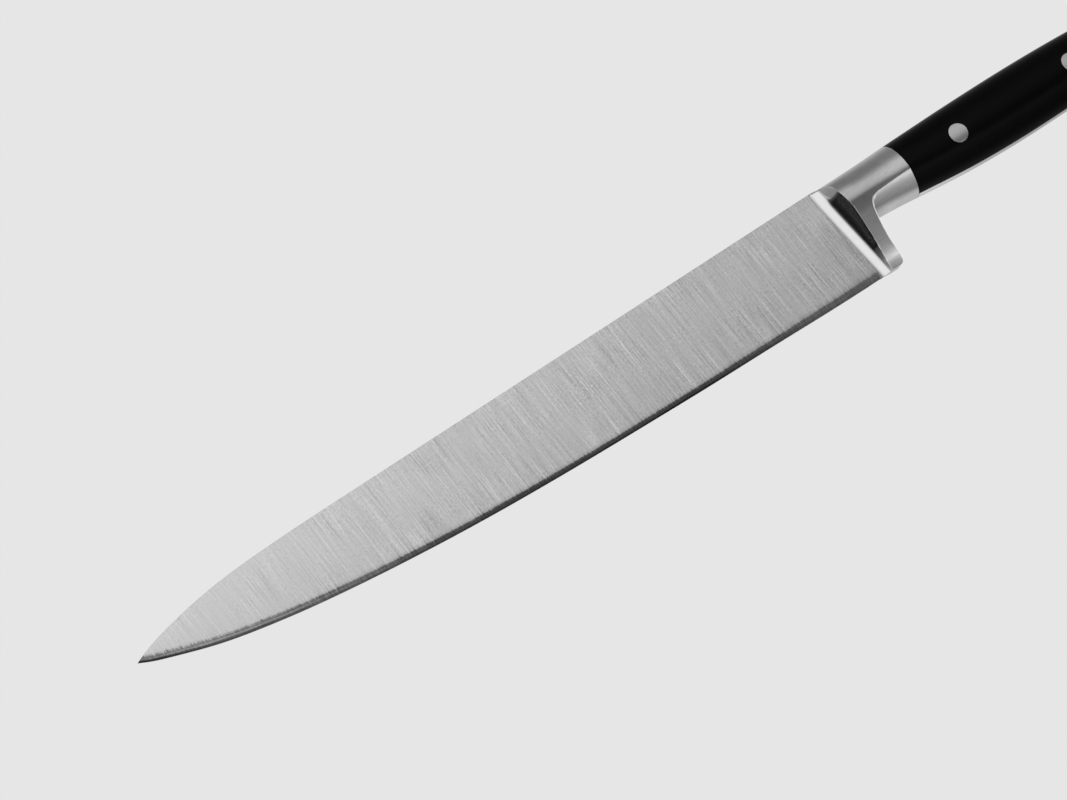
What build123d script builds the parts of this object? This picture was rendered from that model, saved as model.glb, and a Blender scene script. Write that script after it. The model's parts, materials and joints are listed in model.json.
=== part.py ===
"""Forged carving knife: one forging (blade, bolster with guard, full tang), two grip scales and three two-piece rivets.

Working frame while building, in millimetres: x = 0 is the joint between bolster and scales, +x towards the butt,
y = 0 is the straight spine line and the cutting edge is towards -y, z = 0 is the middle plane of the blade.
Everything is moved at the end, so that the knife lies on its right side with the origin under the middle of its box.
"""
from build123d import *
import math
import os

os.makedirs("parts", exist_ok=True)

# ---------------------------------------------------------------- driving dimensions
TIP_X, TIP_Y = -220.8, -6.10          # point of the blade
HEEL_X = -20.8                        # where the cutting edge ends at the bolster: blade length 200
HEEL_Y = -25.58                       # blade height at the heel
SPINE_HALF = 1.15                     # half thickness of the spine at the bolster
TAPER_X = 0.0024                      # half thickness lost per mm towards the point
TAPER_Y = 0.0325                      # half thickness lost per mm towards the edge
EDGE_ANGLE = 12.0                     # sharpened bevel, degrees a side
EDGE_ANGLE_TIP = 17.0                 # the same at the point, where the blade is thicker behind the edge
FOOT_X0 = -23.1                       # foot of the bolster ramp on the blade face, at the spine
FOOT_X1 = -20.25                      # and at the heel
GUARD_TOP_Y, GUARD_TOP_Z = -8.90, 5.37    # the guard's flat side starts here, level with the oval neck
GUARD_LOW_Y, GUARD_LOW_Z = HEEL_Y, 1.75   # and ends here, at the heel
TANG_HALF = 1.5                       # half thickness of the tang
BUTT_X = 104.6                        # end of the grip
RIVET_X = (15.5, 51.0, 87.0)          # rivet places along the grip
RIVET_Y = (-7.9, -8.35, -12.2)
HEAD_R = 2.4                          # rivet head
BARREL_R = 1.6                        # socket half, outside
PIN_R = 1.0                           # pin half, pressed into the socket
HEAD_DEEP = 1.9                       # depth of the head seat under the grip surface
TANG_HOLE_R = 1.68                    # rivet holes in the tang, with a little play

SPINE_PTS = [(-160, 0.0), (-172, -0.04), (-181, -0.20), (-188, -0.42), (-194, -0.80), (-200, -1.42), (-206, -2.33),
             (-211.6, -3.40), (-216.5, -4.62), (TIP_X, TIP_Y)]
EDGE_PTS = [(HEEL_X, HEEL_Y), (-34.4, -25.40), (-52.7, -24.90), (-70.8, -24.50), (-88.7, -23.92), (-106.3, -23.26),
            (-123.7, -22.40), (-140.9, -21.23), (-157.9, -19.64), (-171.8, -18.02), (-183.0, -16.42), (-193.8, -14.48),
            (-202.4, -12.54), (-209.1, -10.53), (-214.5, -8.72), (-218.5, -7.20), (TIP_X, TIP_Y)]
# oval sections of the grip and the bolster's neck: place along the axis, top, bottom, half thickness
OVALS = [(-27, -0.08, -13.25, 5.62), (-19, -0.08, -13.25, 5.62), (-10.5, -0.08, -13.42, 5.65), (-5.5, -0.02, -13.78, 5.72),
         (0, 0.12, -14.32, 5.87), (6, 0.20, -14.95, 6.02), (14, 0.28, -15.72, 6.18), (24, 0.30, -16.32, 6.32),
         (34, 0.22, -16.60, 6.36), (46, -0.08, -16.62, 6.30), (58, -0.66, -16.70, 6.25), (70, -1.62, -17.30, 6.35),
         (80, -2.85, -18.72, 6.58), (88, -4.35, -20.75, 6.78), (94, -6.00, -22.55, 6.78), (98, -7.60, -23.30, 6.50),
         (101, -9.50, -23.05, 5.85), (103, -11.50, -22.00, 4.85), (104.2, -13.40, -20.30, 3.40), (BUTT_X, -14.60, -19.00, 2.20)]


def blade_half(x, y):
    """Half thickness of the blade at a point of its side face."""
    return SPINE_HALF + TAPER_X * (x - FOOT_X0) + TAPER_Y * y


# ---------------------------------------------------------------- blade
spine = Spline(SPINE_PTS, tangents=[(-1, 0), (-1, -0.40)])
edge = Spline(EDGE_PTS, tangents=[(-1, 0.010), (-1, 0.46)])
root = Polyline((-160, 0), (-22.0, 0), (-17.0, -0.6), (-17.0, HEEL_Y + 0.5), (-19.4, HEEL_Y + 0.5), (-19.9, HEEL_Y), (HEEL_X, HEEL_Y))
outline = make_face([spine, edge, root])
blade = extrude(outline, amount=2.5, both=True)


def half_space(sign):
    """Everything on the inner side of one ground side plane of the blade."""
    xs, ys = (-226.0, -12.0), (-30.0, 1.5)
    top = [(x, y, sign * blade_half(x, y)) for x, y in ((xs[0], ys[0]), (xs[1], ys[0]), (xs[1], ys[1]), (xs[0], ys[1]))]
    far = [(x, y, sign * -4.0) for x, y, _ in top]

    def quad(*p):
        return Face(Wire.make_polygon([Vector(*q) for q in p], close=True))
    faces = [quad(*top), quad(*far)] + [quad(top[i], top[(i + 1) % 4], far[(i + 1) % 4], far[i]) for i in range(4)]
    solid = Solid(Shell(faces))
    return -solid if solid.volume < 0 else solid


for sign in (1, -1):
    blade = blade & half_space(sign)

# sharpened bevel: everything outside a surface that leans EDGE_ANGLE from the middle plane is ground away
stations = [-18.9, -34.4, -52.7, -70.8, -88.7, -106.3, -123.7, -140.9, -157.9, -171.8, -183, -193.8, -202.4, -209.1, -214.5,
            -218.8, -222.5]


def edge_y(x):
    """Height of the cutting edge, read from the edge curve."""
    if x > HEEL_X:
        return HEEL_Y
    if x < TIP_X + 0.2:
        return TIP_Y + 0.46 * (TIP_X - x) + 0.1
    lo, hi = 0.0, 1.0
    best = edge.position_at(0)
    for _ in range(40):
        mid = (lo + hi) / 2
        best = edge.position_at(mid)
        if best.X > x:
            lo = mid
        else:
            hi = mid
    return best.Y


def bevel_cutter(sign):
    faces = []
    for x in stations:
        y0, y1 = edge_y(x - 0.4), edge_y(x + 0.4)
        lean = math.cos(math.atan((y0 - y1) / 0.8)) if TIP_X + 1 < x < HEEL_X - 1 else (1.0 if x > -30 else 0.90)
        near_tip = min(1.0, max(0.0, (-150.0 - x) / 65.0))
        rise = math.tan(math.radians(EDGE_ANGLE + (EDGE_ANGLE_TIP - EDGE_ANGLE) * near_tip)) * lean
        y = edge_y(x)
        pts = [(y - 1.5, 0), (y, 0), (y + 4.5, 4.5 * rise), (y + 4.5, 3.5), (y - 1.5, 3.5)]
        faces.append(Face(Wire.make_polygon([Vector(x, yy, sign * zz) for yy, zz in pts], close=True)))
    return loft(faces, ruled=True)


for sign in (1, -1):
    blade = blade - bevel_cutter(sign)

# ---------------------------------------------------------------- grip body: neck of the bolster and both scales together
sections = []
for x, top, low, half in OVALS:
    across = Plane(origin=(x, (top + low) / 2, 0), x_dir=(0, 1, 0), z_dir=(1, 0, 0))
    sections.append(across * Ellipse((top - low) / 2, half))
grip_body = loft(sections)

# ---------------------------------------------------------------- bolster and tang
profile = Wire.make_polygon([Vector(0, GUARD_TOP_Y, GUARD_TOP_Z), Vector(0, GUARD_LOW_Y, GUARD_LOW_Z),
                             Vector(0, GUARD_LOW_Y, -GUARD_LOW_Z), Vector(0, GUARD_TOP_Y, -GUARD_TOP_Z)], close=True)
guard_plate = extrude(Face(profile), amount=40, dir=(-1, 0, 0))
# plan of the guard with its finger notch: back edge, rounded inner corner, run-out under the neck
guard_plan = make_face([
    Polyline((-26, -7.6), (-26, -30), (-15.3, -30), (-15.3, GUARD_LOW_Y)),
    Spline([(-15.3, GUARD_LOW_Y), (-14.62, -25.46), (-14.22, -25.08), (-14.07, -24.4), (-14.02, -23.2), (-13.98, -21.0),
            (-13.88, -18.4), (-13.69, -16.0), (-13.42, -13.9), (-13.10, -12.1), (-12.45, -10.45), (-11.3, -9.45), (-9.6, -9.05)],
           tangents=[(1, 0), (1, 0.10)]),
    Polyline((-9.6, -9.05), (-9.6, -7.6), (-26, -7.6)),
])
guard = guard_plate & extrude(guard_plan, amount=8, both=True)
steel = grip_body
for sign in (1, -1):
    steel = steel - Pos(60, -8, sign * (TANG_HALF + 10)) * Box(120, 60, 20)
steel = steel + guard
# nothing of the bolster stands in front of the hollow's foot
steel = steel - Pos(-40 - 23.4, -8, 0) * Box(80, 60, 30)
forging = blade + steel


def foot_x(y):
    return FOOT_X0 + (FOOT_X1 - FOOT_X0) * (y / HEEL_Y)


def ramp_radius(y):
    """Radius of the hollow that runs from the blade face up to the bolster, smaller towards the heel."""
    table = [(1.5, 5.3), (0.0, 5.2), (-8.5, 4.65), (-14.0, 4.15), (-20.2, 3.2), (-25.6, 1.9), (-30.0, 1.3)]
    for (y0, r0), (y1, r1) in zip(table, table[1:]):
        if y0 >= y >= y1:
            return r0 + (r1 - r0) * (y - y0) / (y1 - y0)
    return table[-1][1]


def ramp_cutter(sign):
    """Space in front of the ramp on one side: hollow arc from the blade face, then a steep straight wall."""
    faces = []
    steep = math.radians(80)
    for y in (1.5, -4.0, -8.5, -14.0, -20.2, -23.4, -28.0):
        fx, r = foot_x(y), ramp_radius(y)
        z0 = max(blade_half(fx, y), 0.15)
        p0 = (fx - 8.0, z0)
        p1 = (fx, z0)
        mid = (fx + r * math.sin(steep / 2), z0 + r * (1 - math.cos(steep / 2)))
        p2 = (fx + r * math.sin(steep), z0 + r * (1 - math.cos(steep)))
        p3 = (p2[0] + (9.0 - p2[1]) / math.tan(steep), 9.0)
        p4 = (fx - 8.0, 9.0)

        def v(p):
            return Vector(p[0], y, sign * p[1])
        wire = Wire([Edge.make_line(v(p0), v(p1)), Edge.make_three_point_arc(v(p1), v(mid), v(p2)),
                     Edge.make_line(v(p2), v(p3)), Edge.make_line(v(p3), v(p4)), Edge.make_line(v(p4), v(p0))])
        faces.append(Face(wire))
    return loft(faces, ruled=True)


for sign in (1, -1):
    forging = forging - ramp_cutter(sign)
for x, y in zip(RIVET_X, RIVET_Y):
    forging = forging - Pos(x, y, 0) * Cylinder(TANG_HOLE_R, 8)

# ---------------------------------------------------------------- scales and rivets
handle = grip_body & (Pos(60.0, -8, 0) * Box(120, 60, 30))
upper = handle & (Pos(60, -8, TANG_HALF + 10) * Box(140, 60, 20))
lower = handle & (Pos(60, -8, -TANG_HALF - 10) * Box(140, 60, 20))


def side_half(x):
    """Half thickness of the grip on its middle line."""
    for (x0, _, _, z0), (x1, _, _, z1) in zip(OVALS, OVALS[1:]):
        if x0 <= x <= x1:
            return z0 + (z1 - z0) * (x - x0) / (x1 - x0)


def rod(x, y, r, z0, z1):
    return Pos(x, y, (z0 + z1) / 2) * Cylinder(r, z1 - z0)


pieces = {}
for name, x, y in zip(("front", "middle", "rear"), RIVET_X, RIVET_Y):
    seat = side_half(x) - HEAD_DEEP
    upper = upper - rod(x, y, BARREL_R, 0, 12) - rod(x, y, HEAD_R, seat, 12)
    lower = lower - rod(x, y, BARREL_R, -12, 0) - rod(x, y, HEAD_R, -12, -seat)
    socket_end = -seat + 0.5
    socket = (rod(x, y, HEAD_R, seat, 12) + rod(x, y, BARREL_R, socket_end, seat + 0.5)) & handle
    socket = socket - rod(x, y, PIN_R, -12, seat - 0.6)
    pin = (rod(x, y, HEAD_R, -12, -seat) & handle) + rod(x, y, PIN_R, -seat - 0.5, seat - 1.0)
    pieces[name + "_rivet_socket"] = socket
    pieces[name + "_rivet_pin"] = pin

pieces["forged_blade"] = forging
pieces["left_scale"] = upper
pieces["right_scale"] = lower

# ---------------------------------------------------------------- move to the part's own frame and write
low_z = min(p.bounding_box().min.Z for p in pieces.values())
box = [p.bounding_box() for p in pieces.values()]
mid_x = (min(b.min.X for b in box) + max(b.max.X for b in box)) / 2
mid_y = (min(b.min.Y for b in box) + max(b.max.Y for b in box)) / 2
shift = (-mid_x, -mid_y, -low_z)
print("shift", [round(s, 5) for s in shift])
for name, piece in pieces.items():
    solids = piece.solids()
    print(name, len(solids), "solid(s)", round(sum(s.volume for s in solids), 2), "mm3")
    export_step(Pos(*shift) * piece, f"parts/{name}.step")
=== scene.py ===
import json
import math

import bpy
import numpy as np
from mathutils import Matrix, Vector

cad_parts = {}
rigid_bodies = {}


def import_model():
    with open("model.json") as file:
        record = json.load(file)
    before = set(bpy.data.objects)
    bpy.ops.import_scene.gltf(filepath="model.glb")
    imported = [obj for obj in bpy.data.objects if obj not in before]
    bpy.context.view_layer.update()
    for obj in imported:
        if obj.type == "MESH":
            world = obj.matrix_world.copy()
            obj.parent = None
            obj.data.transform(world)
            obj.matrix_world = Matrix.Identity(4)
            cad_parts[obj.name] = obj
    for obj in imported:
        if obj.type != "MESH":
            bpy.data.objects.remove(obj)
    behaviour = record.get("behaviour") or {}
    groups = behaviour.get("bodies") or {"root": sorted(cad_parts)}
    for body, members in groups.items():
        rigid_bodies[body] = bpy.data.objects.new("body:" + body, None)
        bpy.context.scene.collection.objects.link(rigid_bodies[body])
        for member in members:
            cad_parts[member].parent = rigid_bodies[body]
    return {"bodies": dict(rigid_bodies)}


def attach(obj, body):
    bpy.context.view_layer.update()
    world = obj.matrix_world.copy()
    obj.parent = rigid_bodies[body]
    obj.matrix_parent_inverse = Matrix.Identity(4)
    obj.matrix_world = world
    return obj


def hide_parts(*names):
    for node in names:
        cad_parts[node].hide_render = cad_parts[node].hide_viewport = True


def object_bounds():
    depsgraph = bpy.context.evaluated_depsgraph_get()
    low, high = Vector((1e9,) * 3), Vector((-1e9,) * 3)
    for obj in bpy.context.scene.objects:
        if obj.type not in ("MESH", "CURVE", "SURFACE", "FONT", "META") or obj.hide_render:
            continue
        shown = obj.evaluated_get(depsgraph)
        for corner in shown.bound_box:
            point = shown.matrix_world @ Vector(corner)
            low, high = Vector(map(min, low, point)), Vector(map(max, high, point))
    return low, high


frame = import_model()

CAD_LOW, CAD_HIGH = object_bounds()
BODY = list(frame["bodies"])[0]

# ------------------------------------------------------------------ frame of construction
# Lengths below are millimetres in the knife's own axes: x = 0 at the joint of bolster and scales, +x to the butt,
# y = 0 on the spine line, the edge towards -y, z = 0 in the middle plane. SHIFT takes them to the row frame.
SHIFT = np.array([58.1, 12.63787, 6.81461])


def row(points):
    return (np.asarray(points, float) + SHIFT) * 1e-3


TIP_X, TIP_Y = -220.8, -6.10
HEEL_X, HEEL_Y = -20.8, -25.58
SPINE_HALF, TAPER_X, TAPER_Y = 1.15, 0.0024, 0.0325
FOOT_X0, FOOT_X1 = -23.1, -20.25
TANG_HALF = 1.5
BUTT_X = 104.6
RIVET_X = (15.5, 51.0, 87.0)
RIVET_Y = (-7.9, -8.35, -12.2)
HEAD_R, BARREL_R, PIN_R, HEAD_DEEP = 2.4, 1.6, 1.0, 1.9
SPINE_PTS = [(-160, 0.0), (-172, -0.04), (-181, -0.20), (-188, -0.42), (-194, -0.80), (-200, -1.42), (-206, -2.33),
             (-211.6, -3.40), (-216.5, -4.62), (TIP_X, TIP_Y)]
EDGE_PTS = [(HEEL_X, HEEL_Y), (-34.4, -25.40), (-52.7, -24.90), (-70.8, -24.50), (-88.7, -23.92), (-106.3, -23.26),
            (-123.7, -22.40), (-140.9, -21.23), (-157.9, -19.64), (-171.8, -18.02), (-183.0, -16.42), (-193.8, -14.48),
            (-202.4, -12.54), (-209.1, -10.53), (-214.5, -8.72), (-218.5, -7.20), (TIP_X, TIP_Y)]
OVALS = [(-27, -0.08, -13.25, 5.62), (-19, -0.08, -13.25, 5.62), (-10.5, -0.08, -13.42, 5.65), (-5.5, -0.02, -13.78, 5.72),
         (0, 0.12, -14.32, 5.87), (6, 0.20, -14.95, 6.02), (14, 0.28, -15.72, 6.18), (24, 0.30, -16.32, 6.32),
         (34, 0.22, -16.60, 6.36), (46, -0.08, -16.62, 6.30), (58, -0.66, -16.70, 6.25), (70, -1.62, -17.30, 6.35),
         (80, -2.85, -18.72, 6.58), (88, -4.35, -20.75, 6.78), (94, -6.00, -22.55, 6.78), (98, -7.60, -23.30, 6.50),
         (101, -9.50, -23.05, 5.85), (103, -11.50, -22.00, 4.85), (104.2, -13.40, -20.30, 3.40), (BUTT_X, -14.60, -19.00, 2.20)]
GUARD_BACK = [(-15.3, HEEL_Y), (-14.62, -25.46), (-14.22, -25.08), (-14.07, -24.4), (-14.02, -23.2), (-13.98, -21.0),
              (-13.88, -18.4), (-13.69, -16.0), (-13.42, -13.9), (-13.10, -12.1), (-12.45, -10.32), (-11.3, -9.22), (-9.6, -8.88)]


# ------------------------------------------------------------------ curves
def spline(pts, first=None, last=None, step=0.05):
    """Dense points of the cubic curve through pts, by chord length, with end directions where given."""
    p = np.array(pts, float)
    t = np.concatenate([[0], np.cumsum(np.linalg.norm(np.diff(p, axis=0), axis=1))])
    n, h = len(t), np.diff(t)
    a, r = np.zeros((n, n)), np.zeros_like(p)
    for i in range(1, n - 1):
        a[i, i - 1:i + 2] = h[i - 1], 2 * (h[i - 1] + h[i]), h[i]
        r[i] = 6 * ((p[i + 1] - p[i]) / h[i] - (p[i] - p[i - 1]) / h[i - 1])
    a[0, 0] = a[-1, -1] = 1
    if first is not None:
        d = np.array(first, float) / np.linalg.norm(first)
        a[0, :2] = 2 * h[0], h[0]
        r[0] = 6 * ((p[1] - p[0]) / h[0] - d)
    if last is not None:
        d = np.array(last, float) / np.linalg.norm(last)
        a[-1, -2:] = h[-1], 2 * h[-1]
        r[-1] = 6 * (d - (p[-1] - p[-2]) / h[-1])
    m = np.linalg.solve(a, r)
    q = np.linspace(0, t[-1], max(int(t[-1] / step), 8))
    i = np.clip(np.searchsorted(t, q) - 1, 0, n - 2)
    u = ((t[i + 1] - q) / h[i])[:, None]
    v = ((q - t[i]) / h[i])[:, None]
    return u * p[i] + v * p[i + 1] + ((u ** 3 - u) * m[i] + (v ** 3 - v) * m[i + 1]) * (h[i] ** 2)[:, None] / 6


spine_line = spline(SPINE_PTS, (-1, 0), (-1, -0.40))[::-1]
edge_line = spline(EDGE_PTS, (-1, 0.010), (-1, 0.46))[::-1]
oval_line = spline(OVALS, step=0.1)
oval_line = oval_line[np.concatenate([[True], np.diff(oval_line[:, 0]) > 0])]


def ease(x, a, b):
    t = np.clip((x - a) / (b - a), 0, 1)
    return t * t * (3 - 2 * t)


def spine_y(x):
    return np.interp(x, spine_line[:, 0], spine_line[:, 1])


def edge_y(x):
    return np.interp(x, edge_line[:, 0], edge_line[:, 1])


def edge_slope(x):
    return (edge_y(x + 0.3) - edge_y(x - 0.3)) / 0.6


def blade_half(x, y):
    return SPINE_HALF + TAPER_X * (x - FOOT_X0) + TAPER_Y * y


# height of the sharpened bevel above the edge
BEVEL = [(-221, 1.40), (-215, 1.60), (-209, 1.64), (-200, 1.72), (-190, 1.66), (-180, 1.60), (-165, 1.42), (-150, 1.33), (-130, 1.28),
         (-110, 1.22), (-90, 1.22), (-70, 1.34), (-50, 1.46), (-40, 1.62), (-30, 1.74), (-20, 1.80)]


def bevel_tall(x):
    return np.interp(x, [b[0] for b in BEVEL], [b[1] for b in BEVEL])


def edge_rise(x):
    """Slope of the sharpened bevel at x."""
    x = np.clip(x, TIP_X, HEEL_X)
    return blade_half(x, edge_y(x)) / bevel_tall(x) + TAPER_Y


def flank_slant(x, y):
    """Normal of the blade's ground face, very slightly crowned from spine to edge and turned just before the hollow."""
    top, low = spine_y(x), edge_y(np.minimum(x, HEEL_X))
    u = np.clip((top - y) / np.maximum(top - low, 0.5), 0, 1)
    turn = 0.040 * ease(x, -31.0, -24.2) * ease(-y, 5.0, 15.0)
    return np.stack([-TAPER_X + turn, -(TAPER_Y + 0.030 * (u - 0.42)), np.ones_like(u)], -1)


def oval(x):
    """Middle height, half height and half thickness of the grip's oval section."""
    top, low, half = (np.interp(x, oval_line[:, 0], oval_line[:, i]) for i in (1, 2, 3))
    return (top + low) / 2, (top - low) / 2, half


# ------------------------------------------------------------------ solid of the bolster, as a field that is negative inside
SIDE_Y = -8.3        # here the oval runs over into the guard's side
# lean of the guard's side, growing at the heel, and the same as its finish shows it
_y = np.linspace(SIDE_Y, -27.0, 1500)
_lean = np.interp(-_y, [8.3, 22.0, 23.5, 24.5, 25.1, 25.6, 27], [12.2, 12.3, 12.7, 13.8, 15.5, 18.0, 22.0])
FINISH = ([8.3, 9.3, 10.5, 11.5, 14, 17, 18.5, 20, 21, 22, 22.8, 23.5, 24.2, 24.9, 25.6],
          [12.2, 12.7, 13.8, 14.5, 14.5, 14.7, 14.8, 15.1, 15.5, 16.4, 17.5, 21.8, 25.7, 29.0, 33.0])
SIDE_DROP = np.concatenate([[0], np.cumsum(np.tan(np.radians((_lean[1:] + _lean[:-1]) / 2)) * -np.diff(_y))])
SIDE_TAN = np.tan(np.radians(12.2))
_bottom = np.array([(-60.0, HEEL_Y), (-30.0, HEEL_Y)])
crease_line = spline([(-30, -9.02), (-20, -9.02), (-12, -9.0), (-9, -8.88), (-7, -8.73), (-5, -8.60), (-3, -8.52), (-1.2, -8.47), (1, -8.42)])
back_line = np.vstack([_bottom, spline(GUARD_BACK, (1, 0), (1, 0.10), step=0.12), [(-9.6, -6.0), (-9.6, 8.0)]])


def smooth_max(a, b, k):
    h = np.maximum(k - np.abs(a - b), 0.0) / k
    return np.maximum(a, b) + h * h * k * 0.25


def oval_gap(y, z, mid, tall, wide):
    u, v = (y - mid) / tall, z / wide
    q = np.sqrt(u * u + v * v) + 1e-9
    g = np.sqrt((u / tall) ** 2 + (v / wide) ** 2) / q + 1e-9
    return (q - 1) / g


def side_z(x, y, mid, tall, wide):
    """Half thickness of the flat side under SIDE_Y, level with the oval there."""
    t = (SIDE_Y - mid) / tall
    root = np.sqrt(1 - t * t)
    lean = -(wide / tall) * t / root
    drop = np.interp(-y, -_y, SIDE_DROP)
    return wide * root - drop * (lean / SIDE_TAN), lean


def outline_gap(x, y):
    """Signed distance in plan to the guard's back edge and the heel's underside, negative on the guard."""
    shape = np.broadcast(x, y).shape
    px, py = np.broadcast_to(x, shape).ravel(), np.broadcast_to(y, shape).ravel()
    a, b = back_line[:-1], back_line[1:]
    d = b - a
    dd = (d * d).sum(1)
    best = np.full(px.shape, 1e9)
    for s in range(0, len(px), 20000):
        qx, qy = px[s:s + 20000, None], py[s:s + 20000, None]
        t = np.clip(((qx - a[:, 0]) * d[:, 0] + (qy - a[:, 1]) * d[:, 1]) / dd, 0, 1)
        ex, ey = qx - a[:, 0] - t * d[:, 0], qy - a[:, 1] - t * d[:, 1]
        best[s:s + 20000] = np.sqrt((ex * ex + ey * ey).min(1))
    inner = back_line[1:]
    back_x = np.interp(py, inner[:, 1], inner[:, 0])
    inside = (py > HEEL_Y) & (px < back_x)
    return np.where(inside, -best, best).reshape(shape)


def ramp_gap(x, y, z):
    """Signed distance to the hollow in front of the bolster: an arc off the blade's face, a tighter one, a steep wall."""
    a1, a2 = math.radians(32.0), math.radians(80.0)
    r1 = 4.5 + 1.3 * ease(y, -5.5, -1.2)
    t = x - (FOOT_X0 + (FOOT_X1 - FOOT_X0) * (y / HEEL_Y))
    h = np.abs(z) - np.maximum(blade_half(x, y), 0.12)
    end = np.interp(-y, [-1.5, 0.0, 3.0, 4.5, 6.0, 7.5, 9.0, 12.0, 14.0, 17.0, 20.2, 22.5, 23.6, 24.6, 25.6, 30.0],
                    [4.90, 4.70, 4.26, 4.10, 4.07, 4.24, 4.37, 4.15, 3.94, 3.59, 3.14, 2.68, 2.34, 1.90, 1.58, 1.50])
    p1x, p1h = r1 * math.sin(a1), r1 * (1 - math.cos(a1))
    r2 = np.maximum((end - p1x) / (math.sin(a2) - math.sin(a1)), 0.15)
    c2x, c2h = p1x - r2 * math.sin(a1), p1h + r2 * math.cos(a1)
    p2x, p2h = c2x + r2 * math.sin(a2), c2h - r2 * math.cos(a2)
    f1 = r1 - np.sqrt(t * t + (r1 - h) ** 2)
    f2 = r2 - np.sqrt((t - c2x) ** 2 + (c2h - h) ** 2)
    f3 = -math.sin(a2) * (t - p2x) + math.cos(a2) * (h - p2h)
    on1 = np.arctan2(t, r1 - h)
    on2 = np.arctan2(t - c2x, c2h - h)
    f = np.where(on1 <= a1, f1, np.where(on2 <= a1, f1, np.where(on2 <= a2, f2, f3)))
    f = np.where((h > c2h) & (t > c2x), f3, f)
    return np.where(t < 0, h, f)


def bolster_gap(x, y, z, plan=None):
    mid, tall, wide = oval(x)
    level, lean = side_z(x, y, mid, tall, wide)
    low = mid - tall
    az = np.abs(z)
    outer = np.where(y > SIDE_Y, oval_gap(y, z, mid, tall, wide), (az - level) * 0.975)
    # under a crease the neck's belly is a second oval, a little leaner
    crease = np.interp(x, crease_line[:, 0], crease_line[:, 1])
    turn = np.radians(7.4 + 1.1 * ease(x, -4.0, -11.0))
    high = (crease - mid) / tall
    on_oval = wide * np.sqrt(1 - high * high)
    cz = np.where(crease > SIDE_Y, on_oval, side_z(x, crease, mid, tall, wide)[0])
    steep = np.tan(np.arctan(np.where(crease > SIDE_Y, -wide * wide / tall * high / on_oval, lean)) + turn)
    deep = crease - low
    c = deep * deep / (cz / steep - 2 * deep)
    belly = oval_gap(y, z, crease + c, c + deep, np.sqrt(steep * cz / c) * (c + deep))
    if plan is None:
        plan = outline_gap(x, y)
    lower = -smooth_max(-belly, -plan, 0.06 + 0.50 * ease(x, -11.9, -13.2))
    body = smooth_max(outer, lower, 0.035 + 0.40 * ease(x, -10.6, -12.6) * (1 - 0.55 * ease(-y, 20.0, 23.5)))
    return smooth_max(body, ramp_gap(x, y, z), 0.05 + 0.30 * ease(y, -4.0, -0.5))


def blade_gap(x, y, z):
    az = np.abs(z)
    top = -0.5 * ease(x, -22.6, -17.4)
    flat = smooth_max((az - blade_half(x, y)) * 0.9994, y - top, 0.13)
    ground = (az - (y - edge_y(x)) * edge_rise(x)) * 0.978
    under = HEEL_Y - y
    return np.maximum(np.maximum(flat, np.where(x > HEEL_X, under, ground)), x + 17.0)


def steel_gap(x, y, z, plan=None):
    foot = x - (FOOT_X0 + (FOOT_X1 - FOOT_X0) * (y / HEEL_Y))
    return np.minimum(np.maximum(bolster_gap(x, y, z, plan), -foot), blade_gap(x, y, z))


def slope_of(field, p, e=0.004):
    g = np.empty_like(p)
    for i in range(3):
        d = np.zeros(3)
        d[i] = e
        g[:, i] = (field(*(p + d).T) - field(*(p - d).T)) / (2 * e)
    return g


# ------------------------------------------------------------------ mesh gathering
class Build:
    """Collects vertices, faces and a normal for each face corner."""

    def __init__(self):
        self.v, self.f, self.n, self.count = [], [], [], 0

    def add(self, pts):
        pts = np.asarray(pts, float)
        self.v.append(pts)
        self.count += len(pts)
        return np.arange(self.count - len(pts), self.count)

    def faces(self, idx, normals=None):
        """idx: faces by corners. normals: one for each corner, or None for flat."""
        idx = np.asarray(idx, int)
        if len(idx) == 0:
            return
        self.f.append(idx)
        self.n.append(None if normals is None else np.asarray(normals, float))

    def points(self):
        return np.vstack(self.v)

    def make(self, name, flip=False):
        v = self.points()
        loops, starts, normals, at = [], [], [], 0
        for idx, nn in zip(self.f, self.n):
            if nn is None:
                e1, e2 = v[idx[:, 1]] - v[idx[:, 0]], v[idx[:, -1]] - v[idx[:, 0]]
                flat = np.cross(e1, e2)
                flat /= np.linalg.norm(flat, axis=1)[:, None] + 1e-12
                nn = np.repeat(flat[:, None, :], idx.shape[1], axis=1)
            if flip:
                idx, nn = idx[:, ::-1], nn[:, ::-1]
            loops.append(idx.ravel())
            normals.append(nn.reshape(-1, 3))
            starts.append(at + np.arange(len(idx)) * idx.shape[1])
            at += idx.size
        loops, starts, normals = np.concatenate(loops), np.concatenate(starts), np.concatenate(normals)
        me = bpy.data.meshes.new(name)
        me.vertices.add(len(v))
        me.vertices.foreach_set("co", np.clip(row(v), np.array(CAD_LOW) + 4e-7, np.array(CAD_HIGH) - 4e-7).astype(np.float32).ravel())
        me.loops.add(len(loops))
        me.loops.foreach_set("vertex_index", loops.astype(np.int32))
        me.polygons.add(len(starts))
        me.polygons.foreach_set("loop_start", starts.astype(np.int32))
        me.update(calc_edges=True)
        me.validate(verbose=False)
        me.polygons.foreach_set("use_smooth", np.ones(len(me.polygons), bool))
        if len(me.loops) == len(loops):
            me.normals_split_custom_set([tuple(x) for x in normals])
        ob = bpy.data.objects.new(name, me)
        bpy.context.scene.collection.objects.link(ob)
        return ob


def tube(build, rings, normals):
    """Faces between rings of equal size, each running from +y over +z, in order of x."""
    rings, normals = np.asarray(rings), np.asarray(normals, float)
    a, b = rings[:-1], rings[1:]
    idx = np.stack([a, np.roll(a, -1, 1), np.roll(b, -1, 1), b], -1).reshape(-1, 4)
    na, nb = normals[:-1], normals[1:]
    nn = np.stack([na, np.roll(na, -1, 1), np.roll(nb, -1, 1), nb], 2).reshape(-1, 4, 3)
    build.faces(idx, nn)


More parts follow.
